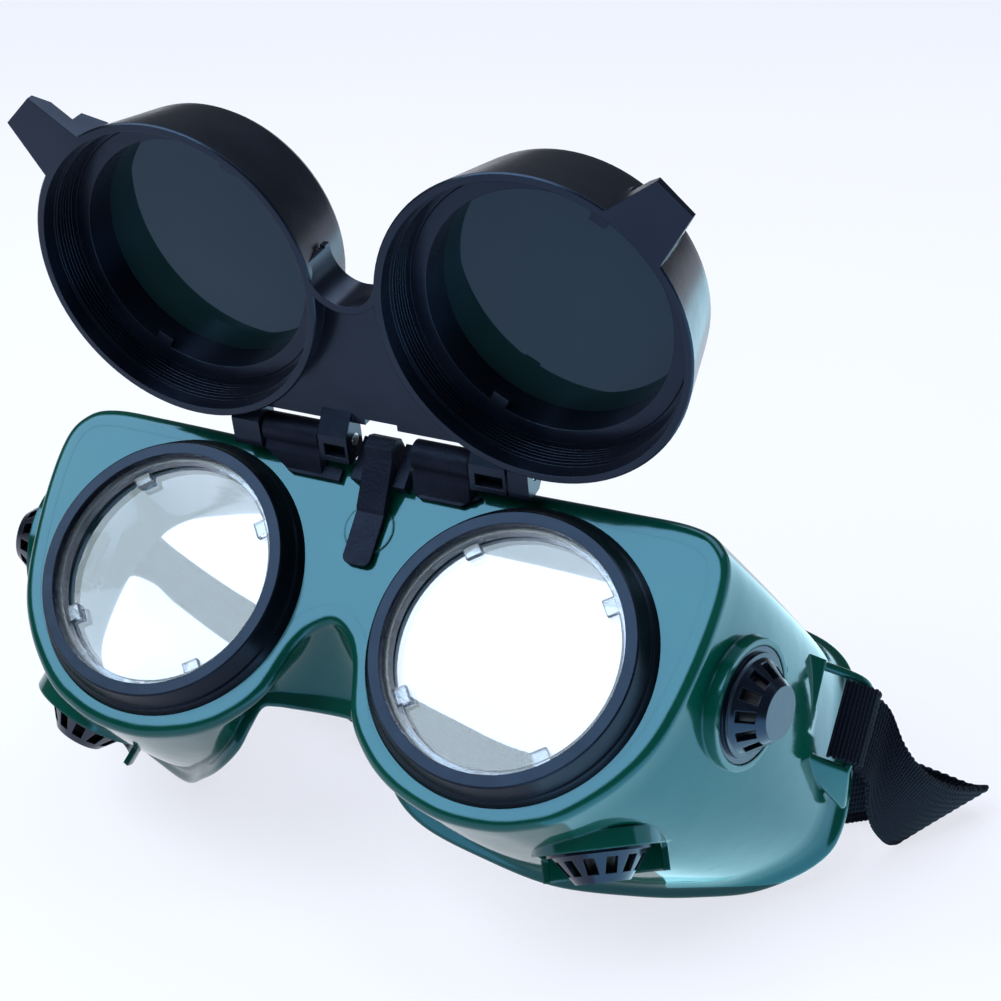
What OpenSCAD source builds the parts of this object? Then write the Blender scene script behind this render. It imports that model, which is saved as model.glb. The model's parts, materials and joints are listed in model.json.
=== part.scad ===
// Flip-up welding goggles, lying back on the cheek edges with the flip front raised.
// All pieces are drawn in the lens frame, whose origin lies midway between the two lens
// faces: X to the side, Y back towards the face, Z up. place() tilts that frame back.

/* [Lenses] */
// Diameter of the round lenses
lens_d = 49.6; // [49.2:0.1:49.8]
// Thickness of the clear lens
clear_t = 2; // [1.5:0.1:2.2]
// Thickness of the dark lens
shade_t = 3; // [2.5:0.1:3]
// Distance between the two lens centres
lens_pitch = 74.2; // [74:0.1:74.6]
// Inner radius of the lens ring's front lip
ring_lip_r = 23.7; // [23:0.1:24]

/* [Mask] */
// Wall thickness of the mask
wall = 2; // [1.6:0.1:2.4]
// Thickness of the front plate
plate_t = 2.9; // [2.5:0.1:3.2]
// Distance of the front plate behind the lens ring faces
plate_y = 5.5; // [5.5:0.1:5.8]
// Radius of the front plate's rounded edge
edge_r = 1.9; // [1.2:0.1:2.4]
// How far the soft rim flares out at the face
rim_flare = 2.4; // [1:0.1:3]

/* [Flip front] */
// Outer radius of a cup at its rim
cup_r = 30.85; // [30.8:0.05:31]
// Depth of a cup
cup_depth = 20.4; // [20:0.1:21]
// Angle the flip front is raised by
open_angle = 127; // [100:1:127]
// Radius of the hinge pins
pin_r = 1.2; // [1:0.05:1.3]
// Running clearance of the pins in the flip front's knuckles
pin_gap = 0.05; // [0.03:0.01:0.08]

/* [Vents] */
// Radius of a vent cap's flange
vent_flange_r = 11.2; // [10:0.1:11.4]
// Height of a vent cap
vent_h = 7; // [6:0.1:7.5]
// Number of slots round a vent cap
vent_slots = 12; // [8:1:14]

/* [Strap] */
// Width of the elastic strap
strap_w = 15.9; // [14:0.1:15.9]
// Thickness of the elastic strap
strap_t = 1.5; // [1.2:0.1:1.5]

/* [Placing] */
// Angle the goggles lean back by
recline = 45; // [45:1:45]

/* [Hidden] */

black = [0.04, 0.04, 0.06];
green = [0.0, 0.28, 0.22];

lens_r = lens_d / 2;
half_pitch = lens_pitch / 2;
smooth = 96; // facets shown on round pieces
body_smooth = 48; // facets of the round features in the mask's mesh

// Lens frame origin above the middle of the box's underside
base_x = -0.54;
base_y = -35.066;
base_z = 64.169;

// Hinge axis in the lens frame
hinge_y = 0.05;
hinge_z = 33.3;

// ---------- curves ----------

// Catmull-Rom curve between b and c
function curve_point(a, b, c, d, t) =
    0.5 * (2 * b + (c - a) * t + (2 * a - 5 * b + 4 * c - d) * t * t + (3 * b - a - 3 * c + d) * t * t * t);
function closed_curve(p, n) = [
    for (i = [0:len(p) - 1], j = [0:n - 1])
        curve_point(p[(i + len(p) - 1) % len(p)], p[i], p[(i + 1) % len(p)], p[(i + 2) % len(p)], j / n)
];
function open_curve(p, n) = [
    for (i = [1:len(p) - 3], j = [0:n - 1])
        curve_point(p[i - 1], p[i], p[i + 1], p[i + 2], j / n)
];
function mirrored(p) = concat(p, [for (i = [len(p) - 2:-1:1]) [-p[i][0], p[i][1], p[i][2]]]);
function unit(v) = v / norm(v);
function turn_x(v, a) = [v[0], v[1] * cos(a) - v[2] * sin(a), v[1] * sin(a) + v[2] * cos(a)];
function turn_z(v, a) = [v[0] * cos(a) - v[1] * sin(a), v[0] * sin(a) + v[1] * cos(a), v[2]];
function tilted(v) = turn_x(v, -recline);

// Triangles of a closed grid of rings; every ring has n points and the rings close on each other
function ring_faces(rings, n) = [
    for (i = [0:rings - 1], j = [0:n - 1], k = [0:1])
        let (a = i * n + j, b = i * n + (j + 1) % n,
             c = ((i + 1) % rings) * n + (j + 1) % n, d = ((i + 1) % rings) * n + j)
            k == 0 ? [a, c, b] : [a, d, c]
];

// ---------- mask outlines ----------

// Right half of the front plate's edge from the top middle to the nose: x, z, bulge of the wall
front_half = [
    [0, 31.3, 0], [25, 31.3, 0.5], [50, 31.6, 0.5], [64, 31.4, 0.5], [70.4, 28.8, 0.5],
    [73.5, 22.5, 0.6], [73.2, 8.7, 1], [70.2, -7.6, 1.5], [65, -17.8, 1.8], [56.5, -26.6, 1.8],
    [49, -30.4, 1.6], [42, -32.2, 1.2], [32.8, -32.4, 1], [23.8, -30.1, 0.5], [17.5, -26.8, 0],
    [12.6, -22.4, -1], [9.8, -18.6, -1], [8.5, -15.4, -1], [7.4, -11.6, -1], [6.1, -7.9, -1],
    [3.8, -4.4, -1], [0, -2.3, -1]
];
// Right half of the rim that rests on the face, point for point: x, y, z
rim_half = [
    [0, 38, 29.5], [27, 49, 32], [53, 60, 33], [71, 68, 31.8], [81, 69, 28.5],
    [86.5, 67.5, 21.5], [90, 65.5, 8.5], [91.5, 66.5, -6.5], [88.5, 66.5, -15], [79, 64.5, -23.5],
    [68, 61.5, -28.3], [57, 57, -31.8], [43, 47.5, -35], [31.5, 33.5, -34.5], [23, 23.5, -32.7],
    [17.6, 18.5, -28.6], [16, 17.3, -23.8], [15, 17.5, -19.5], [13, 19, -18.3], [10, 21, -17.6],
    [5.5, 22.7, -16.9], [0, 23.5, -16.5]
];
loop_steps = 2;
front_loop = closed_curve(mirrored(front_half), loop_steps);
rim_loop = closed_curve(mirrored(rim_half), loop_steps);
loop_n = len(front_loop);

// A point of the mask wall: share of the way to the rim, step back, step out
function wall_flat(i, way) =
    let (f = front_loop[i], r = rim_loop[i])
        [f[0] + (r[0] - f[0]) * way, plate_y + edge_r + (r[1] - plate_y - edge_r) * way, f[1] + (r[2] - f[1]) * way];
function wall_out(i, way) =
    let (a = wall_flat((i + loop_n - 1) % loop_n, way), b = wall_flat((i + 1) % loop_n, way))
        unit([a[2] - b[2], 0, b[0] - a[0]]);
function wall_point(i, way, back, out) =
    wall_flat(i, way) + [0, back, 0]
        + wall_out(i, way) * (out + front_loop[i][2] * sin(180 * way));

// Rings of the shell, outside from front to rim and inside back again: way, back, out
shell_rings = [
    [0, -edge_r, -4], [0, -edge_r, -2.2], [0, -edge_r * 0.8, -0.9], [0, -edge_r * 0.4, -0.2], [0, 0, 0],
    [0.2, 0, -0.2 * rim_flare], [0.4, 0, -0.4 * rim_flare], [0.6, 0, -0.6 * rim_flare],
    [0.8, 0, -0.8 * rim_flare], [0.94, 0, -0.9 * rim_flare],
    [1, -0.6, -0.3 * rim_flare], [1, 0.4, 0], [1, 1.4, -0.2 * rim_flare], [1, 1.5, -rim_flare],
    [1, 0, -rim_flare - wall], [0.8, 0, -0.8 * rim_flare - wall], [0.6, 0, -0.6 * rim_flare - wall],
    [0.4, 0, -0.4 * rim_flare - wall], [0.2, 0, -0.2 * rim_flare - wall],
    [0, plate_t - edge_r, -wall], [0, plate_t - edge_r, -4]
];

// ---------- placing ----------

module place() {
    translate([base_x, base_y, base_z]) rotate([-recline, 0, 0]) children();
}
module place_floor() {
    translate([base_x, base_y, base_z]) children();
}
module place_flip() {
    place() translate([0, hinge_y, hinge_z]) rotate([-open_angle, 0, 0])
        translate([0, -hinge_y, -hinge_z]) children();
}
// Puts a piece drawn along +Z on a lens axis, its base at depth y and growing forwards
module on_lens(side, y) {
    translate([side * half_pitch, y, 0]) rotate([90, 0, 0]) children();
}
module tube(r_out, r_in, h, facets = smooth) {
    difference() {
        cylinder(r = r_out, h = h, $fn = facets);
        translate([0, 0, -1]) cylinder(r = r_in, h = h + 2, $fn = facets);
    }
}

// ---------- mask ----------

lip_t = 1.8;                                 // lens ring's front lip
retainer_t = 2.4;                            // clear lens's retaining ring
clear_y = lip_t + 0.05 + retainer_t;         // front of the clear lens
gasket_t = 0.7;
ledge_y = clear_y + clear_t + gasket_t;      // ledge the gasket rests on
collar_out = 26;
collar_in = lens_r + 0.1;
ledge_r = lens_r - 1.8;

// Strap loop on the right temple: where it leaves the wall, and its outer bar
loop_root = [83, 48.5, 0];
loop_bar = [91.4, 56.6, 0];
loop_bar_r = 1.2;
loop_top = 20.8;
loop_low = 2.6;
loop_mid = (loop_top + loop_low) / 2;

module shell() {
    polyhedron(
        points = [for (r = shell_rings, i = [0:loop_n - 1]) wall_point(i, r[0], r[1], r[2])],
        faces = ring_faces(len(shell_rings), loop_n), convexity = 8);
}
module front_plate() {
    inset = [for (i = [0:loop_n - 1]) wall_point(i, 0, 0, -3)];
    translate([0, plate_y + plate_t - 0.03, 0]) rotate([90, 0, 0])
        linear_extrude(plate_t - 0.06) polygon([for (p = inset) [p[0], p[2]]]);
}
module bar(a, b, r) {
    hull() {
        translate(a) sphere(r = r, $fn = 10);
        translate(b) sphere(r = r, $fn = 10);
    }
}
module strap_loop() {
    for (z = [loop_low, loop_top]) bar(loop_root + [-2, 0, z], loop_bar + [0, 0, z], 0.9);
    bar(loop_root + [0, 0, loop_low], loop_root + [0, 0, loop_top], 1.1);
    bar(loop_bar + [0, 0, loop_low], loop_bar + [0, 0, loop_top], loop_bar_r);
    // gusset below the loop, down to the rim
    hull() {
        translate(loop_bar + [0, 0, loop_low]) sphere(r = 1, $fn = 10);
        translate(loop_root + [0, 2, loop_low]) sphere(r = 1, $fn = 10);
        translate([91, 63, -3]) sphere(r = 1, $fn = 10);
    }
}
// Places a vent's own frame, +Z out of the wall, on the right (side = 1) or left
module at_vent(place_row, side) {
    mirror([side < 0 ? 1 : 0, 0, 0]) translate(place_row[0])
        rotate([0, place_row[1], 0]) rotate([place_row[2], 0, 0]) children();
}
// Foot of the vent on the wall, then its turn about Y and about X
side_vent = [[78.2, 23, 4.6], 95, 12];
lower_vent = [[57, 26.5, -27], 159, -12];
vent_hole_r = 8.6;

module mask_body() {
    color(green) place() difference() {
        union() {
            shell();
            front_plate();
            for (side = [-1, 1]) {
                on_lens(side, ledge_y + 1.5)
                    cylinder(r = collar_out, h = ledge_y + 1.5 - lip_t - 0.1, $fn = body_smooth);
                mirror([side < 0 ? 1 : 0, 0, 0]) strap_loop();
                // thickened pads the vents plug into
                for (v = [side_vent, lower_vent]) at_vent(v, side)
                    translate([0, 0, -2.6]) cylinder(r = vent_flange_r + 1.5, h = 3.6, $fn = body_smooth);
                // the wall stands higher behind the lower vents, so their seats have a collar there
                at_vent(lower_vent, side) intersection() {
                    translate([0, 0, -2.55]) cylinder(r = vent_flange_r + 1.45, h = 8.7, $fn = body_smooth);
                    translate([-20, 2.5, -5]) cube([40, 20, 20]);
                }
            }
            // low boss behind the snap tongue
            translate([1.4, plate_y + 0.5, 17.6]) rotate([90, 0, 0]) cylinder(r = 5.1, h = 0.75, $fn = body_smooth);
        }
        for (side = [-1, 1]) {
            on_lens(side, ledge_y) cylinder(r = collar_in, h = 20, $fn = body_smooth);
            on_lens(side, ledge_y + 5) cylinder(r = ledge_r, h = 20, $fn = body_smooth);
            for (v = [side_vent, lower_vent]) at_vent(v, side) {
                translate([0, 0, -9]) cylinder(r = vent_hole_r, h = 20, $fn = body_smooth);
                // flat seat for the cap's flange
                translate([0, 0, -0.05]) cylinder(r = vent_flange_r + 0.2, h = 8, $fn = body_smooth);
            }
        }
    }
}

// ---------- clear lenses ----------

ring_bore = collar_out + 0.1;
ring_gap = 0.05;
module lens_ring(side) {
    color(black) place() on_lens(side, 0) rotate_extrude($fn = smooth) polygon([
        [ring_lip_r, 0], [25.9, 0], [26.2, -0.25], [27.5, -3.6], [28, -3.9], [28.7, -plate_y + ring_gap],
        [ring_bore, -plate_y + ring_gap], [ring_bore, -lip_t], [ring_lip_r, -lip_t]
    ]);
}
module clear_lens(side) {
    color([0.85, 0.9, 1, 0.3]) place() on_lens(side, clear_y + clear_t)
        cylinder(r = lens_r, h = clear_t, $fn = smooth);
}
// Ring with square lugs on its inside, which a spanner turns it by
module lug_ring(r_out, r_in, h, lug_in, lug_w, lug_angles) {
    tube(r_out, r_in, h);
    for (a = lug_angles) rotate([0, 0, a])
        translate([r_in - lug_in, -lug_w / 2, 0]) cube([lug_in + 0.6, lug_w, h * 0.6]);
}
module lens_retainer(side) {
    color([0.75, 0.8, 0.9, 0.6]) place() on_lens(side, clear_y)
        lug_ring(lens_r, 22.5, retainer_t, 2.5, 3.2, [36, 126, 216, 306]);
}
module lens_gasket(side) {
    color(black) place() on_lens(side, ledge_y) tube(lens_r - 0.2, ledge_r + 0.3, gasket_t);
}

// ---------- hinge ----------

barrel_r = 2.9;
barrel_drop = 0.5; // the barrels' middle lies this far below the pin
// x spans along the hinge
left_barrel = [-24.1, -11.8];
right_barrel = [8.7, 20.8];
left_knuckles = [[-30.8, -24.6], [-11.3, -4.9]];
right_knuckles = [[21.3, 28.9], [29.4, 33.6]];
tongue_x = [-1.6, 4.4];
guide_w = 2.6;

module along_hinge(span, r) {
    translate([span[0], hinge_y, hinge_z]) rotate([0, 90, 0])
        cylinder(r = r, h = span[1] - span[0], $fn = 48);
}
// Barrel, the wedge that carries it and the foot on the plate
module hinge_foot(barrel, foot) {
    translate([barrel[0], 0, 0]) rotate([90, 0, 90]) linear_extrude(barrel[1] - barrel[0]) polygon([
        [plate_y, 33.6], [plate_y, 26], [4.3, 26], [1.4, 28.4], [0.6, 29.9],
        [hinge_y, hinge_z - barrel_r], [hinge_y, 33.6]
    ]);
    translate([foot[0], plate_y - 1.3, 25.4]) cube([foot[1] - foot[0], 1.3, 2.6]);
    translate([0, 0, -barrel_drop]) along_hinge(barrel, barrel_r);
}
// Room the cups need when the flip front is closed
module cup_room() {
    for (side = [-1, 1]) on_lens(side, plate_y + 1) cylinder(r = cup_r + 0.35, h = 30, $fn = smooth);
}
module hinge_base() {
    color(black) place() difference() {
        union() {
            hinge_foot(left_barrel, [-22.4, -7.6]);
            hinge_foot(right_barrel, [9.9, 22.3]);
            // guides on both sides of the tongue
            for (x = [tongue_x[0] - 0.3 - guide_w, tongue_x[1] + 0.3])
                translate([x, 2.5, 26]) cube([guide_w, plate_y - 2.5, 9]);
        }
        along_hinge([-40, 40], pin_r);
        cup_room();
    }
}
module hinge_pin(span) {
    color("silver") place() along_hinge(span, pin_r);
}
module snap_tongue() {
    width = tongue_x[1] - tongue_x[0];
    end_r = 1.7;
    color(black) place() {
        translate([tongue_x[0], 0, 0]) rotate([90, 0, 90]) linear_extrude(width) polygon([
            [plate_y, 31], [3.6, 34.4], [0.4, 35.2], [-1.4, 34.2], [-1.8, 31.6], [-0.2, 30.2],
            [3.1, 20.9], [3.7, 20.3], [4.1, 12.6], [4.9, 12.6], [4.9, 21], [2.2, 28.4], [plate_y, 28.4]
        ]);
        // thin end with round corners, just clear of the boss
        hull() {
            for (x = [tongue_x[0] + end_r, tongue_x[1] - end_r]) translate([x, 4.9, 9.8 + end_r])
                rotate([90, 0, 0]) cylinder(r = end_r, h = 0.8, $fn = 32);
            translate([tongue_x[0], 4.1, 12.2]) cube([width, 0.8, 0.6]);
        }
    }
}

// ---------- flip front (drawn closed, then raised) ----------

rim_y = plate_y - 0.3;
cup_lip_r = 23.4;
cup_lip_t = 1.6;
shade_back = cup_depth - cup_lip_t - gasket_t;  // depth of the dark lens's far face
retainer_depth = 8;                             // depth of the screw-in ring's near face
// Bore of a cup from the rim inwards: radius, depth it reaches
bore_steps = [
    [29.2, 3.4], [28.5, retainer_depth + 0.1], [27.3, 10.2], [26, shade_back - shade_t],
    [lens_r + 0.15, cup_depth - cup_lip_t]
];
web_front = -1.6;
web_top = 29.5; // ends clear of the barrels
web_t = 1.8;
saddle_r = 7.2;
saddle_z = -6.6;
saddle_wall = 1.5;

module cup(side) {
    on_lens(side, rim_y) difference() {
        rotate_extrude($fn = smooth) polygon([
            [0, 0], [cup_r - 0.3, 0], [cup_r, 0.3], [27.3, 17], [26.9, 18.6], [26.2, 19.7], [25, cup_depth],
            [0, cup_depth]
        ]);
        // thread the ring screws in by
        for (i = [0:4]) translate([0, 0, 4 + i * 0.9])
            cylinder(r = 29, h = 0.45, $fn = smooth);
        for (i = [0:len(bore_steps) - 1])
            translate([0, 0, -1]) cylinder(r = bore_steps[i][0], h = bore_steps[i][1] + 1, $fn = smooth);
        translate([0, 0, -1]) cylinder(r = cup_lip_r, h = cup_depth + 2, $fn = smooth);
    }
}
module cup_space(side) {
    on_lens(side, rim_y + 1) cylinder(r = 29.6, h = 40, $fn = smooth);
}
// Finger tab at a cup's outer lower edge
module lift_tab(side) {
    mirror([side < 0 ? 1 : 0, 0, 0]) translate([half_pitch, rim_y, 0]) rotate([90, 0, 0]) difference() {
        linear_extrude(9) polygon([[14.4, -25.2], [25.5, -33], [31.6, -27.4], [24.6, -16.2]]);
        // slope that thins the tab towards its tip
        rotate([0, 0, -43.5]) translate([28, -20, 9]) rotate([0, 30, 0]) translate([-1, 0, 0]) cube([30, 40, 12]);
        translate([0, 0, 3.2]) rotate([0, 0, -43.5]) translate([33, -20, 0]) cube([20, 40, 12]);
    }
}
module web_outline(z_low) {
    difference() {
        polygon([[-32.3, web_top], [-14, 4], [-14, z_low], [14, z_low], [14, 4], [32.3, web_top]]);
        translate([0, saddle_z]) circle(r = saddle_r, $fn = 64);
        translate([-saddle_r, saddle_z - 20]) square([2 * saddle_r, 20]);
    }
}
module extrude_y(y_front, y_back) {
    translate([0, y_back, 0]) rotate([90, 0, 0]) linear_extrude(y_back - y_front) children();
}
module web() {
    extrude_y(web_front, web_front + web_t) web_outline(1.6);
    extrude_y(web_front - 2.4, web_front - 0.8) web_outline(-7);
    extrude_y(web_front - 2.4, rim_y) intersection() {
        union() {
            difference() {
                translate([0, saddle_z]) circle(r = saddle_r + saddle_wall, $fn = 64);
                translate([0, saddle_z]) circle(r = saddle_r, $fn = 64);
                translate([-20, saddle_z - 20]) square([40, 20]);
            }
        }
        translate([-20, saddle_z]) square([40, 30]);
    }
}
module knuckle(span, window) {
    w = span[1] - span[0];
    translate([span[0], 0, 0]) difference() {
        // block round the pin, with a ramp up to it from the web
        rotate([90, 0, 90]) linear_extrude(w) polygon([
            [web_front, 27], [0.1, 27], [3.5, 31.4], [3.5, 37.2], [2.6, 37.7], [-1, 37.2], [-2.4, 35.6], [-2.4, 30]
        ]);
        if (window) translate([1.2, hinge_y + 0.6, 33.3]) cube([w - 1.8, 10, 2.7]);
    }
}
module tongue_notch() {
    translate([tongue_x[0] - 0.5, web_front - 1, 28.2])
        cube([tongue_x[1] - tongue_x[0] + 1, web_t + 2, 4]);
}
module flip_frame() {
    color(black) place_flip() difference() {
        union() {
            difference() {
                union() {
                    difference() {
                        web();
                        tongue_notch();
                    }
                    lift_tab(-1);
                    lift_tab(1);
                    for (k = left_knuckles) knuckle(k, k[1] > -20);
                    for (k = right_knuckles) knuckle(k, k[1] < 30);
                }
                for (side = [-1, 1]) cup_space(side);
            }
            cup(-1);
            cup(1);
        }
        along_hinge([-40, 40], pin_r + pin_gap);
    }
}
module shade_lens(side) {
    color([0.1, 0.2, 0.2]) place_flip() on_lens(side, rim_y - shade_back + shade_t)
        cylinder(r = lens_r, h = shade_t, $fn = smooth);
}
module shade_gasket(side) {
    color(black) place_flip() on_lens(side, rim_y - shade_back) tube(lens_r - 0.2, cup_lip_r + 0.2, gasket_t);
}
module shade_retainer(side) {
    color(black) place_flip() on_lens(side, rim_y - retainer_depth) {
        lug_ring(27.2, 24.2, 2, 2.2, 3.4, [-61, 119]);
        translate([0, 0, 1.9]) tube(25.9, 24.2, shade_back - shade_t - retainer_depth - 1.9);
    }
}

// ---------- vents ----------

vent_top_r = 5.2;
vent_skin = 1.1;
module vent_cap(place_row, side) {
    color(black) place() at_vent(place_row, side) difference() {
        union() {
            cylinder(r = vent_flange_r, h = 0.8, $fn = 64);
            cylinder(r = vent_flange_r - 1.1, h = 1.6, $fn = 64);
            translate([0, 0, 1.6]) cylinder(r1 = vent_flange_r - 2, r2 = vent_top_r, h = vent_h - 1.6, $fn = 64);
            // socket that plugs into the wall
            translate([0, 0, -3.2]) cylinder(r = vent_hole_r - 0.05, h = 3.4, $fn = 64);
        }
        translate([0, 0, -4]) cylinder(r = vent_hole_r - 1.2, h = 5.6, $fn = 64);
        translate([0, 0, 1.6]) cylinder(r1 = vent_hole_r - 1.2, r2 = vent_top_r - 0.9, h = vent_h - 2.8, $fn = 64);
        for (i = [0:vent_slots - 1]) rotate([0, 0, i * 360 / vent_slots])
            translate([4.4, -1.1, 2.4]) cube([8, 2.2, vent_h - 4]);
    }
}
module vent_baffle(place_row, side) {
    color([0.1, 0.1, 0.12]) place() at_vent(place_row, side) difference() {
        union() {
            translate([0, 0, -3]) cylinder(r = vent_hole_r - 1.3, h = 3.4, $fn = 64);
            // core that keeps light from crossing the slots
            cylinder(r1 = 6.2, r2 = 3.5, h = 5.3, $fn = 64);
        }
        translate([0, 0, -4]) cylinder(r = 3.2, h = 3.4, $fn = 64);
        for (i = [0:7]) rotate([0, 0, i * 45])
            translate([3.8, -1, -4]) cube([2.4, 2, 3.6]);
    }
}

// ---------- strap ----------

// Directions along and across the loop, seen from above
loop_along = unit(loop_bar - loop_root);
loop_front = [loop_along[1], -loop_along[0], 0];
wrap_r = loop_bar_r + 0.4 + strap_t / 2;
// Strap round the right loop's bar, from its sewn tail to the run: centre points in the lens frame
wrap_points = concat(
    [loop_bar - loop_along * 5.4 + loop_front * 0.4, loop_bar - loop_along * 3.2 + loop_front * 1.7],
    [for (a = [90:-30:-30]) loop_bar + loop_along * wrap_r * cos(a) + loop_front * wrap_r * sin(a)]
);
function wrap_station(p) = [tilted(p + [0, 0, loop_mid]), tilted([0, 0, 1])];

// The straight stretch that carries the slider, in the tilted frame
slide_mid = [-104, 68, -46];
slide_tip = -30;
slide_turn = 23;
function slide_dir(v) = turn_z(turn_x(v, slide_tip), slide_turn);
function slide_station(s) = [slide_mid + slide_dir([0, s, 0]), slide_dir([0, 0, 1])];

floor_z = -64.1;
on_edge = floor_z + strap_w / 2;
// Free stretch from the right loop, folded over on the surface and on behind the mask:
// centre point, and the vector across the strap as a share of its width
run_stations = [
    [[94.8, 51.8, -37.5], [0.05, 0.7, 0.7]], [[96.9, 51.8, -44], [0.3, 0.5, 0.72]],
    [[99.3, 53.8, -50.3], [0.5, 0.5, 0.7]], [[102.4, 58.2, -55.8], [0.65, 0.7, 0.62]],
    [[104.9, 63, -58.8], [0.8, 1, 0.47]], [[105.9, 67, -60.2], [0.88, 1.1, 0.36]],
    [[103.5, 69.8, -61.2], [0.72, 0.95, 0.28]], [[98.5, 69.5, -59.5], [0.45, 0.6, 0.52]],
    [[92, 64.5, -56.3], [0.1, 0.25, 0.93]], [[84, 58, on_edge], [0, 0, 1]],
    [[68, 48.5, on_edge], [0, 0, 1]], [[46, 38, on_edge], [0, 0, 1]],
    [[25, 35, on_edge], [0, 0, 1]], [[5, 40, on_edge], [0, 0, 1]], [[-18, 48, on_edge], [0, 0, 1]],
    [[-44, 58.5, on_edge], [0, 0, 1]], [[-70, 69, on_edge], [0, 0, 1]], [[-92, 79.5, on_edge], [0, 0, 1]],
    [[-103, 85.5, on_edge + 0.3], [0, 0, 1]], [[-110.5, 86.5, on_edge + 1.3], [-0.1, 0.2, 0.97]]
];
function flipped(v) = [-v[0], v[1], v[2]];
strap_stations = concat(
    [for (p = wrap_points) wrap_station(p)],
    run_stations,
    [for (s = [14:-7:-14]) slide_station(s)],
    [let (w = wrap_station(loop_bar + loop_along * 7 - loop_front * 3)) [flipped(w[0]), flipped(w[1])]],
    [for (i = [len(wrap_points) - 1:-1:0])
        let (w = wrap_station(wrap_points[i])) [flipped(w[0]), flipped(w[1])]]
);
function ends_doubled(p) = concat([2 * p[0] - p[1]], p, [2 * p[len(p) - 1] - p[len(p) - 2]]);
strap_steps = 2;
strap_centre = open_curve(ends_doubled([for (s = strap_stations) s[0]]), strap_steps);
strap_width = open_curve(ends_doubled([for (s = strap_stations) s[1]]), strap_steps);
strap_n = len(strap_centre);
function strap_corner(i, k) =
    let (a = strap_centre[max(i - 1, 0)], b = strap_centre[min(i + 1, strap_n - 1)],
         w = strap_width[i], t = unit(cross(b - a, w)),
         sw = [1, 1, -1, -1][k], st = [1, -1, -1, 1][k])
        strap_centre[i] + w * sw * strap_w / 2 + t * st * strap_t / 2;

module strap() {
    color([0.03, 0.03, 0.04]) place_floor() polyhedron(
        points = [for (i = [0:strap_n - 1], k = [0:3]) strap_corner(i, k)],
        faces = concat(
            [[0, 2, 1], [0, 3, 2]],
            [for (i = [0:strap_n - 2], k = [0:3], h = [0:1])
                let (a = i * 4 + k, b = i * 4 + (k + 1) % 4)
                    h == 0 ? [a, b + 4, a + 4] : [a, b, b + 4]],
            [[4 * strap_n - 4, 4 * strap_n - 3, 4 * strap_n - 2], [4 * strap_n - 4, 4 * strap_n - 2, 4 * strap_n - 1]]),
        convexity = 10);
}
module strap_slider() {
    color(black) place_floor() translate(slide_mid) rotate([0, 0, slide_turn]) rotate([slide_tip, 0, 0])
        difference() {
            translate([-2.6, -4, -strap_w / 2 - 2.6]) cube([5.2, 8, strap_w + 5.2]);
            translate([-strap_t / 2 - 0.35, -10, -strap_w / 2 - 0.4]) cube([strap_t + 0.7, 20, strap_w + 0.8]);
        }
}

mask_body();
lens_ring(-1);  // lens_ring_left
lens_ring(1);  // lens_ring_right
clear_lens(-1);  // clear_lens_left
clear_lens(1);  // clear_lens_right
lens_retainer(-1);  // lens_retainer_left
lens_retainer(1);  // lens_retainer_right
lens_gasket(-1);  // lens_gasket_left
lens_gasket(1);  // lens_gasket_right
hinge_base();
snap_tongue();
hinge_pin([-30.6, -4.9]);  // hinge_pin_left
hinge_pin([8.7, 33.4]);  // hinge_pin_right
flip_frame();
shade_lens(-1);  // shade_lens_left
shade_lens(1);  // shade_lens_right
shade_retainer(-1);  // shade_retainer_left
shade_retainer(1);  // shade_retainer_right
shade_gasket(-1);  // shade_gasket_left
shade_gasket(1);  // shade_gasket_right
vent_cap(side_vent, -1);  // vent_cap_side_left
vent_cap(side_vent, 1);  // vent_cap_side_right
vent_cap(lower_vent, -1);  // vent_cap_lower_left
vent_cap(lower_vent, 1);  // vent_cap_lower_right
vent_baffle(side_vent, -1);  // vent_baffle_side_left
vent_baffle(side_vent, 1);  // vent_baffle_side_right
vent_baffle(lower_vent, -1);  // vent_baffle_lower_left
vent_baffle(lower_vent, 1);  // vent_baffle_lower_right
strap();
strap_slider();
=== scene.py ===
import json
import math

import bmesh
import bpy
from mathutils import Matrix, Vector


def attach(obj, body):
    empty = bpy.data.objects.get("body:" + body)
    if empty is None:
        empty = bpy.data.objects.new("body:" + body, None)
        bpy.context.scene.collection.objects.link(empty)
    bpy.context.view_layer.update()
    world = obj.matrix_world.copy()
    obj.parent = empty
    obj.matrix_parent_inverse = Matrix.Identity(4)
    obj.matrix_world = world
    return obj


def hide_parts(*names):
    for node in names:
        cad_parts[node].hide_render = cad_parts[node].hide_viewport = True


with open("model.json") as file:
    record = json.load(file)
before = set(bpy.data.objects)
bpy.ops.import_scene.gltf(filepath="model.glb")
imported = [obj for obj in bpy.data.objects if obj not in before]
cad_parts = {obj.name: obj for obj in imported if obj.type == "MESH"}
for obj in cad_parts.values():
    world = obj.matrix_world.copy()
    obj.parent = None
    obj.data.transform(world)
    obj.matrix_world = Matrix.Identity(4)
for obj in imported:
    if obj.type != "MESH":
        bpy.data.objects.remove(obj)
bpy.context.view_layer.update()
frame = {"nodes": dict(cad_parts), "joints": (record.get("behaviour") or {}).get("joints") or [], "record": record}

# ---------------------------------------------------------------- placing
# Shapes are made in millimetres in the lens frame of the CAD source (origin midway between the
# lens faces, X to the side, Y back, Z up), and leant back as the record's hinge axis says.
RECLINE = math.radians(-45)
HINGE = Vector((0, 0.05, 33.3))
TILT = Matrix.Rotation(RECLINE, 4, "X")
BASE = Vector(frame["joints"][0]["pos_m"]) * 1000 - TILT @ HINGE
MM = Matrix.Scale(0.001, 4)
PLACE = MM @ Matrix.Translation(BASE) @ TILT
FLAT = MM @ Matrix.Translation(BASE)

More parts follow.
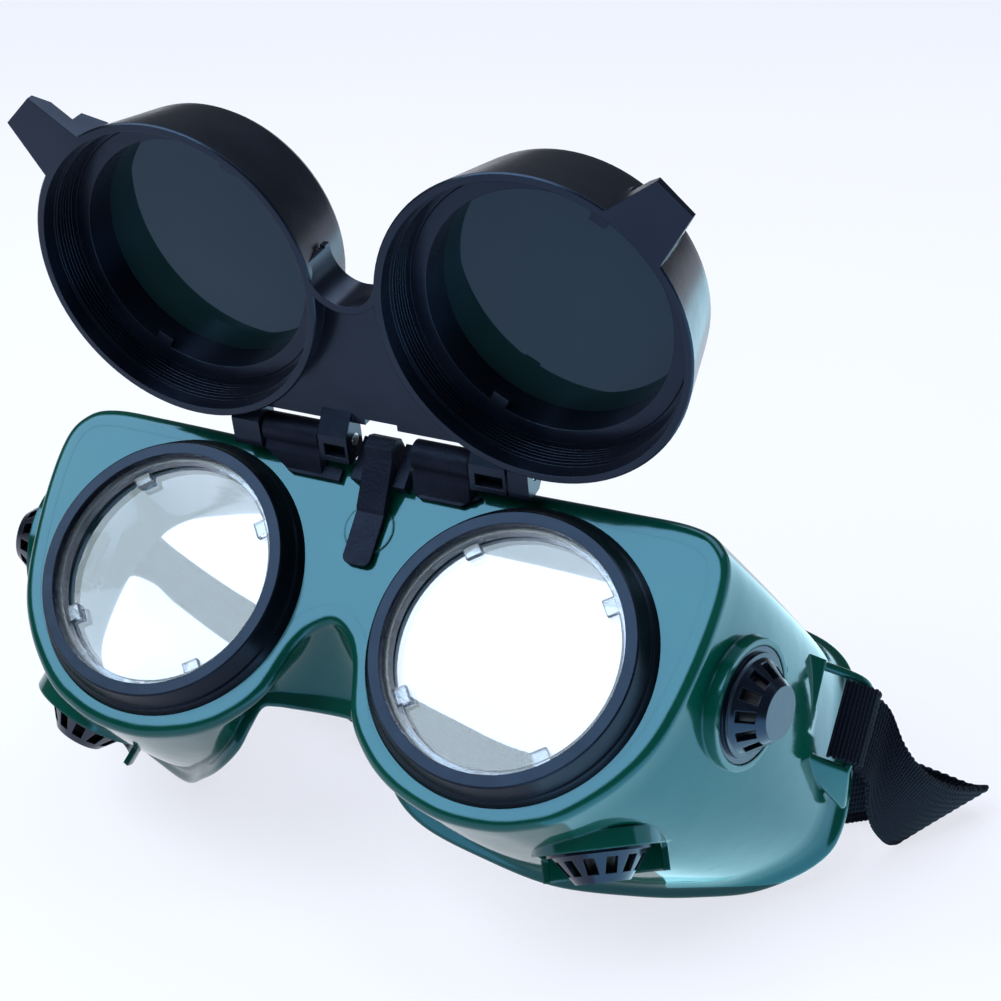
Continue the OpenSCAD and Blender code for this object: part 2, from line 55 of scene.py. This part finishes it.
# ---------------------------------------------------------------- camera
cam_data = bpy.data.cameras.new("camera")
camera = bpy.data.objects.new("camera", cam_data)
bpy.context.scene.collection.objects.link(camera)
bpy.context.scene.camera = camera
cam_data.sensor_width = 36
cam_data.lens = 73.53
cam_data.clip_start = 0.01
back = Vector((0.3959, -0.7971, 0.4561)).normalized()
right = Vector((0.8997, 0.4361, -0.0188))
right = (right - back * right.dot(back)).normalized()
up = back.cross(right)
turn = Matrix((right, up, back)).transposed().to_4x4()
camera.matrix_world = Matrix.Translation((Vector((179.4, -284.9, 193.0)) + BASE) * 0.001) @ turn

# ---------------------------------------------------------------- materials


def material(name, color, rough, **sockets):
    """A Principled material. Returns the material, its node tree and its shader."""
    m = bpy.data.materials.new(name)
    m.use_nodes = True
    tree = m.node_tree
    shader = tree.nodes["Principled BSDF"]
    shader.inputs["Base Color"].default_value = (*color, 1)
    shader.inputs["Roughness"].default_value = rough
    for key, value in sockets.items():
        shader.inputs[key.replace("_", " ")].default_value = value
    return m, tree, shader


def add(tree, kind, **values):
    n = tree.nodes.new(kind)
    for key, value in values.items():
        if key in n.inputs:
            n.inputs[key].default_value = value
        else:
            setattr(n, key, value)
    return n


def coordinates(tree, kind="Object"):
    return add(tree, "ShaderNodeTexCoord").outputs[kind]


def noise(tree, vector, scale, detail=2.0, rough=0.5):
    n = add(tree, "ShaderNodeTexNoise", Scale=scale, Detail=detail, Roughness=rough)
    tree.links.new(vector, n.inputs["Vector"])
    return n.outputs["Fac"]


def ramp(tree, fac, low, high, a=(0, 0, 0, 1), b=(1, 1, 1, 1)):
    r = add(tree, "ShaderNodeValToRGB")
    r.color_ramp.elements[0].position, r.color_ramp.elements[1].position = low, high
    r.color_ramp.elements[0].color, r.color_ramp.elements[1].color = a, b
    tree.links.new(fac, r.inputs["Fac"])
    return r.outputs["Color"]


def bump(tree, shader, height, strength, distance, radius=0.0):
    """Bump on top of rounded edges of the given radius."""
    b = add(tree, "ShaderNodeBump", Strength=strength, Distance=distance)
    tree.links.new(height, b.inputs["Height"])
    if radius:
        bevel = add(tree, "ShaderNodeBevel", Radius=radius)
        bevel.samples = 4
        tree.links.new(bevel.outputs["Normal"], b.inputs["Normal"])
    tree.links.new(b.outputs["Normal"], shader.inputs["Normal"])


def plastic(name, color, rough, grain=900.0, grain_depth=0.00004, spread=0.35, edge=0.00025, **more):
    """Moulded plastic: fine grain, colour and gloss that vary a little, rounded edges."""
    m, t, s = material(name, color, rough, **more)
    where = coordinates(t)
    cloud = noise(t, where, 45, 3)
    light = tuple(min(1, c * (1 + spread) + 0.002) for c in color) + (1,)
    dark = tuple(c * (1 - spread) for c in color) + (1,)
    t.links.new(ramp(t, cloud, 0.35, 0.65, dark, light), s.inputs["Base Color"])
    t.links.new(
        ramp(t, noise(t, where, 160, 4), 0.3, 0.7, (rough * 0.85,) * 3 + (1,), (rough * 1.2,) * 3 + (1,)),
        s.inputs["Roughness"],
    )
    bump(t, s, noise(t, where, grain, 3), 0.5, grain_depth, edge)
    return m


def glass(name, color, rough, **more):
    """Clear moulded glass with a slight unevenness."""
    m, t, s = material(name, color, rough, IOR=1.52, **more)
    bump(t, s, noise(t, coordinates(t), 70, 1), 0.12, 0.0002)
    return m


green = plastic("mask_green", (0.0, 0.046, 0.031), 0.10, grain=48, grain_depth=0.0005, spread=0.12, edge=0.0006,
                Specular_IOR_Level=0.7, Specular_Tint=(0.32, 0.68, 1.0, 1))
BLUISH = (0.38, 0.58, 1.0, 1)
ring_black = plastic("ring_black", (0.002, 0.003, 0.006), 0.26, grain=700, Specular_IOR_Level=0.25,
                     Specular_Tint=BLUISH)
flip_black = plastic("flip_black", (0.002, 0.003, 0.007), 0.24, grain=500, grain_depth=0.00002,
                     Specular_IOR_Level=0.42, Specular_Tint=BLUISH)
vent_black = plastic("vent_black", (0.002, 0.003, 0.006), 0.22, grain=700, Specular_Tint=BLUISH)
slider_black = plastic("slider_black", (0.010, 0.010, 0.014), 0.4, grain=800)
baffle_black = plastic("baffle_black", (0.012, 0.012, 0.016), 0.5, grain=600)
hinge_black = plastic("hinge_black", (0.006, 0.007, 0.014), 0.42, grain=1500, grain_depth=0.0003, spread=0.5,
                    Specular_IOR_Level=0.12, Specular_Tint=BLUISH)
rubber = plastic("gasket_rubber", (0.012, 0.012, 0.012), 0.6, grain=1400)
steel = plastic("pin_steel", (0.55, 0.56, 0.58), 0.28, grain=2500, grain_depth=0.00002, Metallic=1.0)

clear = glass("clear_lens", (0.80, 0.87, 1.0), 0.03, Transmission_Weight=1.0)
milky, t, s = material("retainer_clear", (0.80, 0.87, 0.98), 0.2, Transmission_Weight=0.92, IOR=1.46)
bump(t, s, noise(t, coordinates(t), 350, 2), 0.3, 0.0002, 0.0002)
shade, t, s = material("shade_glass", (0.012, 0.03, 0.035), 0.03, IOR=1.5, Specular_Tint=(0.40, 0.58, 1.0, 1))
cloud = noise(t, coordinates(t), 30, 2)
t.links.new(ramp(t, cloud, 0.3, 0.7, (0.004, 0.014, 0.016, 1), (0.007, 0.020, 0.024, 1)), s.inputs["Base Color"])
bump(t, s, noise(t, coordinates(t), 25, 1), 0.1, 0.0004)

# Woven elastic: ribs along the strap are in the mesh, the knit across them is bump
webbing, t, s = material("strap_webbing", (0.010, 0.010, 0.016), 0.82, Sheen_Weight=0.015, Sheen_Roughness=0.5,
                        Specular_IOR_Level=0.1, Specular_Tint=BLUISH)
uv = coordinates(t, "UV")
knit = add(t, "ShaderNodeTexWave", Scale=1.0, Distortion=0.6, wave_type="BANDS", bands_direction="Y")
knit.inputs["Detail"].default_value = 1.0
mapping = add(t, "ShaderNodeMapping")
mapping.inputs["Scale"].default_value = (14.0, 0.42, 1.0)
t.links.new(uv, mapping.inputs["Vector"])
t.links.new(mapping.outputs["Vector"], knit.inputs["Vector"])
fuzz = noise(t, uv, 40, 4, 0.7)
mix = add(t, "ShaderNodeMix", data_type="FLOAT", Factor=0.35)
t.links.new(knit.outputs["Fac"], mix.inputs[2])
t.links.new(fuzz, mix.inputs[3])
t.links.new(ramp(t, mix.outputs[0], 0.25, 0.8, (0.001, 0.001, 0.003, 1), (0.009, 0.009, 0.016, 1)),
            s.inputs["Base Color"])
bump(t, s, mix.outputs[0], 0.9, 0.0003)

MATERIALS = {
    "mask_shell": green, "ring_plastic": ring_black, "clear_lens": clear, "retainer_clear": milky,
    "gasket_rubber": rubber, "pin_steel": steel, "shade_glass": shade, "hinge_plastic": hinge_black,
    "slider_plastic": slider_black, "baffle_plastic": baffle_black, "vent_plastic": vent_black,
    "flip_plastic": flip_black, "strap_webbing": webbing,
}


def smooth_shade(mesh, sharp):
    """Smooth shading, with edges over the given angle in degrees left sharp."""
    mesh.polygons.foreach_set("use_smooth", [True] * len(mesh.polygons))
    mesh.set_sharp_from_angle(angle=math.radians(sharp))


for part in frame["record"]["subparts"]:
    node = frame["nodes"][part["node"]]
    node.data.materials.clear()
    node.data.materials.append(MATERIALS[part["material_slot"]])
    smooth_shade(node.data, 28)

# ---------------------------------------------------------------- mesh tools


def piece(name, bm, matrix, mat, body, sharp=32):
    mesh = bpy.data.meshes.new(name)
    bmesh.ops.recalc_face_normals(bm, faces=bm.faces)
    bm.to_mesh(mesh)
    bm.free()
    mesh.transform(matrix)
    obj = bpy.data.objects.new(name, mesh)
    bpy.context.scene.collection.objects.link(obj)
    mesh.materials.append(mat)
    smooth_shade(mesh, sharp)
    if body:
        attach(obj, body)
    return obj


def loft(rings, closed=True, capped=False):
    """A mesh through rings of the same number of points."""
    bm = bmesh.new()
    rows = [[bm.verts.new(p) for p in ring] for ring in rings]
    n = len(rows[0])
    for i in range(len(rows) if closed else len(rows) - 1):
        a, b = rows[i], rows[(i + 1) % len(rows)]
        for j in range(n):
            bm.faces.new((a[j], a[(j + 1) % n], b[(j + 1) % n], b[j]))
    if capped:
        bm.faces.new(rows[0])
        bm.faces.new(rows[-1][::-1])
    return bm


def turned(profile, segments=96):
    """A solid of revolution about Z through (radius, height) points, capped at both ends."""
    rings = [[(r * math.cos(2 * math.pi * k / segments), r * math.sin(2 * math.pi * k / segments), h)
              for k in range(segments)] for r, h in profile]
    return loft(rings, closed=False, capped=True)


def cylinder(r, z0, z1, matrix, segments=96):
    bm = turned([(r, z0), (r, z1)], segments)
    bmesh.ops.transform(bm, matrix=matrix, verts=bm.verts)
    return bm


def hull(points):
    bm = bmesh.new()
    verts = [bm.verts.new(p) for p in points]
    out = bmesh.ops.convex_hull(bm, input=verts)
    bmesh.ops.delete(bm, geom=list({g for g in out["geom_interior"] + out["geom_unused"]
                                    if isinstance(g, bmesh.types.BMVert)}), context="VERTS")
    return bm


def ball(centre, r, n=14):
    return [Vector(centre) + Vector((r * math.sin(math.pi * i / n) * math.cos(2 * math.pi * j / n),
                                     r * math.sin(math.pi * i / n) * math.sin(2 * math.pi * j / n),
                                     r * math.cos(math.pi * i / n)))
            for i in range(n + 1) for j in range(n if 0 < i < n else 1)]


def scratch(bm):
    mesh = bpy.data.meshes.new("scratch")
    bmesh.ops.recalc_face_normals(bm, faces=bm.faces)
    bmesh.ops.triangulate(bm, faces=[f for f in bm.faces if len(f.verts) > 4])
    bm.to_mesh(mesh)
    bm.free()
    obj = bpy.data.objects.new("scratch", mesh)
    bpy.context.scene.collection.objects.link(obj)
    return obj


def combine(start, steps):
    """start is a bmesh, steps are (operation, bmesh); returns the resulting bmesh."""
    base = scratch(start)
    for operation, bm in steps:
        other = scratch(bm)
        mod = base.modifiers.new("boolean", "BOOLEAN")
        mod.operation = operation
        mod.object = other
        mod.solver = "MANIFOLD"
        graph = bpy.context.evaluated_depsgraph_get()
        mesh = bpy.data.meshes.new_from_object(base.evaluated_get(graph))
        base.modifiers.clear()
        base.data = mesh
        bpy.data.objects.remove(other)
    out = bmesh.new()
    out.from_mesh(base.data)
    bpy.data.objects.remove(base)
    return out


def spline(a, b, c, d, t):
    return 0.5 * (2 * b + (c - a) * t + (2 * a - 5 * b + 4 * c - d) * t * t + (3 * b - a - 3 * c + d) * t ** 3)


def closed_curve(points, n):
    p = [Vector(q) for q in points]
    k = len(p)
    return [spline(p[i - 1], p[i], p[(i + 1) % k], p[(i + 2) % k], j / n) for i in range(k) for j in range(n)]


def open_curve(points, n):
    p = [Vector(q) for q in points]
    p = [2 * p[0] - p[1]] + p + [2 * p[-1] - p[-2]]
    out = [spline(p[i - 1], p[i], p[i + 1], p[i + 2], j / n) for i in range(1, len(p) - 2) for j in range(n)]
    return out + [p[-2]]


# ---------------------------------------------------------------- mask
PLATE_Y, PLATE_T, EDGE_R, WALL, FLARE = 5.5, 2.9, 1.9, 2.0, 2.4
HALF_PITCH, LEDGE_Y = 37.1, 6.95
COLLAR_OUT, COLLAR_IN, LEDGE_R = 26, 24.9, 23
# Right half of the front plate's edge: x, z, bulge; and of the rim on the face: x, y, z
FRONT = [
    (0, 31.3, 0), (25, 31.3, 0.5), (50, 31.6, 0.5), (64, 31.4, 0.5), (70.4, 28.8, 0.5),
    (73.5, 22.5, 0.6), (73.2, 8.7, 1), (70.2, -7.6, 1.5), (65, -17.8, 1.8), (56.5, -26.6, 1.8),
    (49, -30.4, 1.6), (42, -32.2, 1.2), (32.8, -32.4, 1), (23.8, -30.1, 0.5), (17.5, -26.8, 0),
    (12.6, -22.4, -1), (9.8, -18.6, -1), (8.5, -15.4, -1), (7.4, -11.6, -1), (6.1, -7.9, -1),
    (3.8, -4.4, -1), (0, -2.3, -1),
]
RIM = [
    (0, 38, 29.5), (27, 49, 32), (53, 60, 33), (71, 68, 31.8), (81, 69, 28.5),
    (86.5, 67.5, 21.5), (90, 65.5, 8.5), (91.5, 66.5, -6.5), (88.5, 66.5, -15), (79, 64.5, -23.5),
    (68, 61.5, -28.3), (57, 57, -31.8), (43, 47.5, -35), (31.5, 33.5, -34.5), (23, 23.5, -32.7),
    (17.6, 18.5, -28.6), (16, 17.3, -23.8), (15, 17.5, -19.5), (13, 19, -18.3), (10, 21, -17.6),
    (5.5, 22.7, -16.9), (0, 23.5, -16.5),
]


def mirrored(p):
    return list(p) + [(-q[0], *q[1:]) for q in p[-2:0:-1]]


AROUND = 8
front_loop = closed_curve(mirrored(FRONT), AROUND)
rim_loop = closed_curve(mirrored(RIM), AROUND)
N = len(front_loop)


def wall_flat(i, way):
    f, r = front_loop[i % N], rim_loop[i % N]
    start = Vector((f.x, PLATE_Y + EDGE_R, f.y))
    return start.lerp(r, way)


def wall_point(i, way, step, out):
    a, b = wall_flat(i - 4, way), wall_flat(i + 4, way)
    normal = Vector((a.z - b.z, 0, b.x - a.x)).normalized()
    bulge = front_loop[i % N].z * math.sin(math.pi * way)
    return wall_flat(i, way) + Vector((0, step, 0)) + normal * (out + bulge)


profile = [(0, -EDGE_R, -4), (0, -EDGE_R, -2.4)]
profile += [(0, -EDGE_R * math.sin(math.radians(a)), -EDGE_R * (1 - math.cos(math.radians(a))))
            for a in range(90, -1, -15)]
profile += [(k / 16, 0, -FLARE * k / 16) for k in range(1, 15)]
profile += open_curve([(0.92, 0, -0.9 * FLARE), (0.975, -0.4, -0.62 * FLARE), (1, -0.3, -0.1 * FLARE),
                       (1, 0.6, 0.02), (1, 1.35, -0.25 * FLARE), (1, 1.5, -FLARE),
                       (1, 1.1, -FLARE - WALL * 0.8), (0.97, 0, -FLARE - WALL)], 3)
profile += [(k / 16, 0, -FLARE * k / 16 - WALL) for k in range(14, 0, -1)]
profile += [(0, PLATE_T - EDGE_R, -WALL), (0, PLATE_T - EDGE_R, -4)]
shell = loft([[wall_point(i, *p) for i in range(N)] for p in profile])

inset = [wall_point(i, 0, 0, -3) for i in range(N)]
plate = loft([[(p.x, y, p.z) for p in inset] for y in (PLATE_Y + 0.02, PLATE_Y + PLATE_T - 0.02)],
             closed=False, capped=True)


def lens_axis(side):
    """Frame on a lens axis: +Z grows forwards from the lens plane."""
    return Matrix.Translation((side * HALF_PITCH, 0, 0)) @ Matrix.Rotation(math.radians(90), 4, "X")


VENT_HOLE_R, VENT_SEAT_R, VENT_PAD_R = 8.6, 11.4, 12.7
SIDE_VENT = ((78.2, 23, 4.6), 95, 12)
LOWER_VENT = ((57, 26.5, -27), 159, -12)


def vent_axis(place, side):
    (x, y, z), about_y, about_x = place
    m = Matrix.Translation((x, y, z)) @ Matrix.Rotation(math.radians(about_y), 4, "Y") \
        @ Matrix.Rotation(math.radians(about_x), 4, "X")
    return Matrix.Scale(-1 if side < 0 else 1, 4, (1, 0, 0)) @ m


# Where the strap loop leaves the temple, where the strap's bar stands, and the heights of its ends
LOOP_ROOT, LOOP_BAR = Vector((83, 48.5, 0)), Vector((91.4, 56.6, 0))
LOOP_LOW, LOOP_TOP = 2.6, 20.8


def loop_parts(side):
    """The strap loop on one temple: a moulded frame with round corners, and the gusset under it."""
    root, bar, low, top = LOOP_ROOT, LOOP_BAR, LOOP_LOW, LOOP_TOP
    parts = []
    path = [root + Vector((-2, 0, top)), root.lerp(bar, 0.7) + Vector((0, 0, top)),
            bar + Vector((0.1, 0, top - 1)), bar + Vector((0.4, 0, top - 4)), bar + Vector((0.2, 0, low + 3)),
            bar + Vector((0, 0, low))]
    path = open_curve(path, 5)
    for a, b in zip(path, path[1:]):
        parts.append(ball(a, 0.95, 8) + ball(b, 0.95, 8))
    parts.append(ball(root + Vector((-2, 0, low)), 0.9, 8) + ball(bar + Vector((0, 0, low)), 0.9, 8))
    # broad front bar
    parts.append([root + Vector(v) for v in ((-2, -2.2, low - 1), (1.6, 0.4, low - 1), (-2, -2.2, top + 0.9),
                                             (0.9, 0.2, top + 0.9), (-2, 1.4, low - 1), (1.2, 1.4, low - 1),
                                             (-2, 1.4, top + 0.9), (0.6, 1.4, top + 0.9))])
    parts.append(ball(bar + Vector((0, 0, low - 0.2)), 0.9, 8) + ball(root + Vector((0, 2, low - 0.4)), 0.9, 8)
                 + ball((91, 62.5, -3), 0.9, 8))
    return [hull([Vector((p[0] * side, p[1], p[2])) for p in q]) for q in parts]


steps = [("UNION", plate)]
for side in (-1, 1):
    steps.append(("UNION", cylinder(COLLAR_OUT, -LEDGE_Y - 1.5, -1.9, lens_axis(side))))
    for vent in (SIDE_VENT, LOWER_VENT):
        steps.append(("UNION", cylinder(VENT_PAD_R, -2.6, 1, vent_axis(vent, side), 72)))
    # the wall stands higher behind the lower vent, so its seat has a collar there
    r = VENT_PAD_R - 0.05
    arc = [(r * math.cos(math.radians(a)), r * math.sin(math.radians(a))) for a in range(12, 169, 4)]
    collar = hull([Vector((x, y, z)) for x, y in arc for z in (-2.55, 6.15)])
    bmesh.ops.transform(collar, matrix=vent_axis(LOWER_VENT, side), verts=collar.verts)
    steps.append(("UNION", collar))
    steps += [("UNION", q) for q in loop_parts(side)]
boss = Matrix.Translation((1.4, PLATE_Y + 0.5, 17.6)) @ Matrix.Rotation(math.radians(90), 4, "X")
steps.append(("UNION", cylinder(5.1, 0, 0.75, boss, 64)))
for side in (-1, 1):
    steps.append(("DIFFERENCE", cylinder(COLLAR_IN, -LEDGE_Y, 20, lens_axis(side))))
    steps.append(("DIFFERENCE", cylinder(LEDGE_R, -LEDGE_Y - 5, 10, lens_axis(side))))
    for vent in (SIDE_VENT, LOWER_VENT):
        steps.append(("DIFFERENCE", cylinder(VENT_HOLE_R, -9, 9, vent_axis(vent, side), 72)))
        steps.append(("DIFFERENCE", cylinder(VENT_SEAT_R, -0.05, 7.95, vent_axis(vent, side), 72)))
mask = piece("moulded_mask", combine(shell, steps), PLACE, green, "mask", 38)
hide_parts("mask_body")

# ---------------------------------------------------------------- strap
STRAP_W, STRAP_T = 15.9, 1.5
bar = LOOP_BAR
along = (bar - LOOP_ROOT).normalized()
ahead = Vector((along.y, -along.x, 0))
WRAP_R = 1.2 + 0.4 + STRAP_T / 2
middle = Vector((0, 0, 11.7))
rot = TILT.to_3x3()
across = rot @ Vector((0, 0, 1))
wrap = [bar - along * 5.4 + ahead * 0.4, bar - along * 3.2 + ahead * 1.7]
wrap += [bar + along * WRAP_R * math.cos(math.radians(a)) + ahead * WRAP_R * math.sin(math.radians(a))
         for a in (90, 60, 30, 0, -30)]
wrap = [(rot @ (p + middle), across) for p in wrap]
FLOOR = -64.1
EDGE = FLOOR + STRAP_W / 2
run = [
    ((94.8, 51.8, -37.5), (0.05, 0.7, 0.7)), ((96.9, 51.8, -44), (0.3, 0.5, 0.72)),
    ((99.3, 53.8, -50.3), (0.5, 0.5, 0.7)), ((102.4, 58.2, -55.8), (0.65, 0.7, 0.62)),
    ((104.9, 63, -58.8), (0.8, 1, 0.47)), ((105.9, 67, -60.2), (0.88, 1.1, 0.36)),
    ((103.5, 69.8, -61.2), (0.72, 0.95, 0.28)), ((98.5, 69.5, -59.5), (0.45, 0.6, 0.52)),
    ((92, 64.5, -56.3), (0.1, 0.25, 0.93)), ((84, 58, EDGE), (0, 0, 1)),
    ((68, 48.5, EDGE), (0, 0, 1)), ((46, 38, EDGE), (0, 0, 1)),
    ((25, 35, EDGE), (0, 0, 1)), ((5, 40, EDGE), (0, 0, 1)), ((-18, 48, EDGE), (0, 0, 1)),
    ((-44, 58.5, EDGE), (0, 0, 1)), ((-70, 69, EDGE), (0, 0, 1)), ((-92, 79.5, EDGE), (0, 0, 1)),
    ((-103, 85.5, EDGE + 0.3), (0, 0, 1)), ((-110.5, 86.5, EDGE + 1.3), (-0.1, 0.2, 0.97)),
]
slide = Matrix.Rotation(math.radians(23), 3, "Z") @ Matrix.Rotation(math.radians(-30), 3, "X")
slide_mid = Vector((-104, 68, -46))
stations = wrap + [(Vector(c), Vector(w)) for c, w in run]
stations += [(slide_mid + slide @ Vector((0, s, 0)), slide @ Vector((0, 0, 1))) for s in (14, 7, 0, -7, -14)]
left = [(rot @ (bar + along * 7 - ahead * 3 + middle), across)] + wrap[::-1]
stations += [(Vector((-c.x, c.y, c.z)), Vector((-w.x, w.y, w.z))) for c, w in left]

FINE = 26
centres = open_curve([c for c, w in stations], FINE)
widths = open_curve([w for c, w in stations], FINE)
RIBS, PER_RIB = 13, 4


def strap_ring(i, length):
    a, b = centres[max(i - 1, 0)], centres[min(i + 1, len(centres) - 1)]
    w = widths[i]
    t = (b - a).cross(w).normalized()
    scallop = 0.16 * math.sin(2 * math.pi * length / 1.25)
    ring = []
    for face in (1, -1):
        for k in range(RIBS * PER_RIB + 1):
            u = (k / (RIBS * PER_RIB) - 0.5) * face
            half = STRAP_W / 2 + (scallop if abs(u) > 0.49 else 0) - 0.1
            rib = 0.5 * STRAP_T - 0.22 + 0.2 * abs(math.sin(math.pi * RIBS * (u + 0.5)))
            if abs(u) > 0.49:
                rib *= 0.55
            ring.append(centres[i] + w * (2 * u * half) + t * rib * face)
    return ring


rings, length, lengths = [], 0.0, []
for i in range(len(centres)):
    if i:
        length += (centres[i] - centres[i - 1]).length
    lengths.append(length)
    rings.append(strap_ring(i, length))
bm = loft(rings, closed=False, capped=True)
uv_layer = bm.loops.layers.uv.new("UVMap")
bm.verts.index_update()
per = len(rings[0])
for f in bm.faces:
    for l in f.loops:
        i, k = divmod(l.vert.index, per)
        u = k / (RIBS * PER_RIB + 1)
        l[uv_layer].uv = (u if u < 1 else 2 - u, lengths[i])
strap = piece("elastic_strap", bm, FLAT, webbing, "mask", 60)
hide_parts("strap")

# ---------------------------------------------------------------- floor and light
bm = bmesh.new()
bmesh.ops.create_grid(bm, x_segments=8, y_segments=8, size=6)
floor_mat, t, s = material("floor_pale", (0.25, 0.25, 0.26), 0.8, Emission_Color=(0.90, 0.91, 0.99, 1),
                           Emission_Strength=0.8, Specular_IOR_Level=0.2)
t.links.new(ramp(t, noise(t, coordinates(t), 3, 2), 0.3, 0.7, (0.24, 0.24, 0.25, 1), (0.26, 0.26, 0.27, 1)),
            s.inputs["Base Color"])
floor = piece("floor", bm, Matrix.Identity(4), floor_mat, None)


def softbox(name, direction, distance, size, radiance, color, target=(0, 0, 0.07)):
    """A rectangular light that faces the target from the given direction."""
    data = bpy.data.lights.new(name, "AREA")
    data.shape = "RECTANGLE"
    data.size, data.size_y = size
    data.energy = radiance * math.pi * size[0] * size[1]
    data.color = color
    obj = bpy.data.objects.new(name, data)
    bpy.context.scene.collection.objects.link(obj)
    d = Vector(direction).normalized()
    obj.location = Vector(target) + d * distance
    obj.rotation_mode = "QUATERNION"
    obj.rotation_quaternion = d.to_track_quat("Z", "Y")
    return obj


softbox("key_box", (-0.40, -0.46, 0.80), 0.9, (0.8, 0.6), 6.4, (0.78, 0.93, 1.0))
softbox("side_box", (0.87, 0.47, 0.16), 0.9, (0.8, 0.5), 1.2, (0.70, 0.92, 1.0))
# Lies on the floor and shines up, for the bright table that the side wall reflects
low_panel = softbox("low_panel", (0, 0, 1), 0.003, (0.8, 1.1), 1.7, (0.36, 0.84, 1.0), (0.462, 0.05, 0))
low_panel.rotation_quaternion = Matrix.Rotation(math.pi, 4, "X").to_quaternion()
low_panel.visible_camera = low_panel.visible_transmission = False
softbox("top_box", (0.1, 0.35, 0.93), 1.2, (1.0, 0.8), 2.8, (0.80, 0.88, 1.0))

world = bpy.data.worlds.new("studio")
bpy.context.scene.world = world
world.use_nodes = True
world.node_tree.nodes["Background"].inputs["Color"].default_value = (0.86, 0.91, 1.0, 1)
world.node_tree.nodes["Background"].inputs["Strength"].default_value = 0.12
bpy.context.scene.view_settings.view_transform = "Standard"
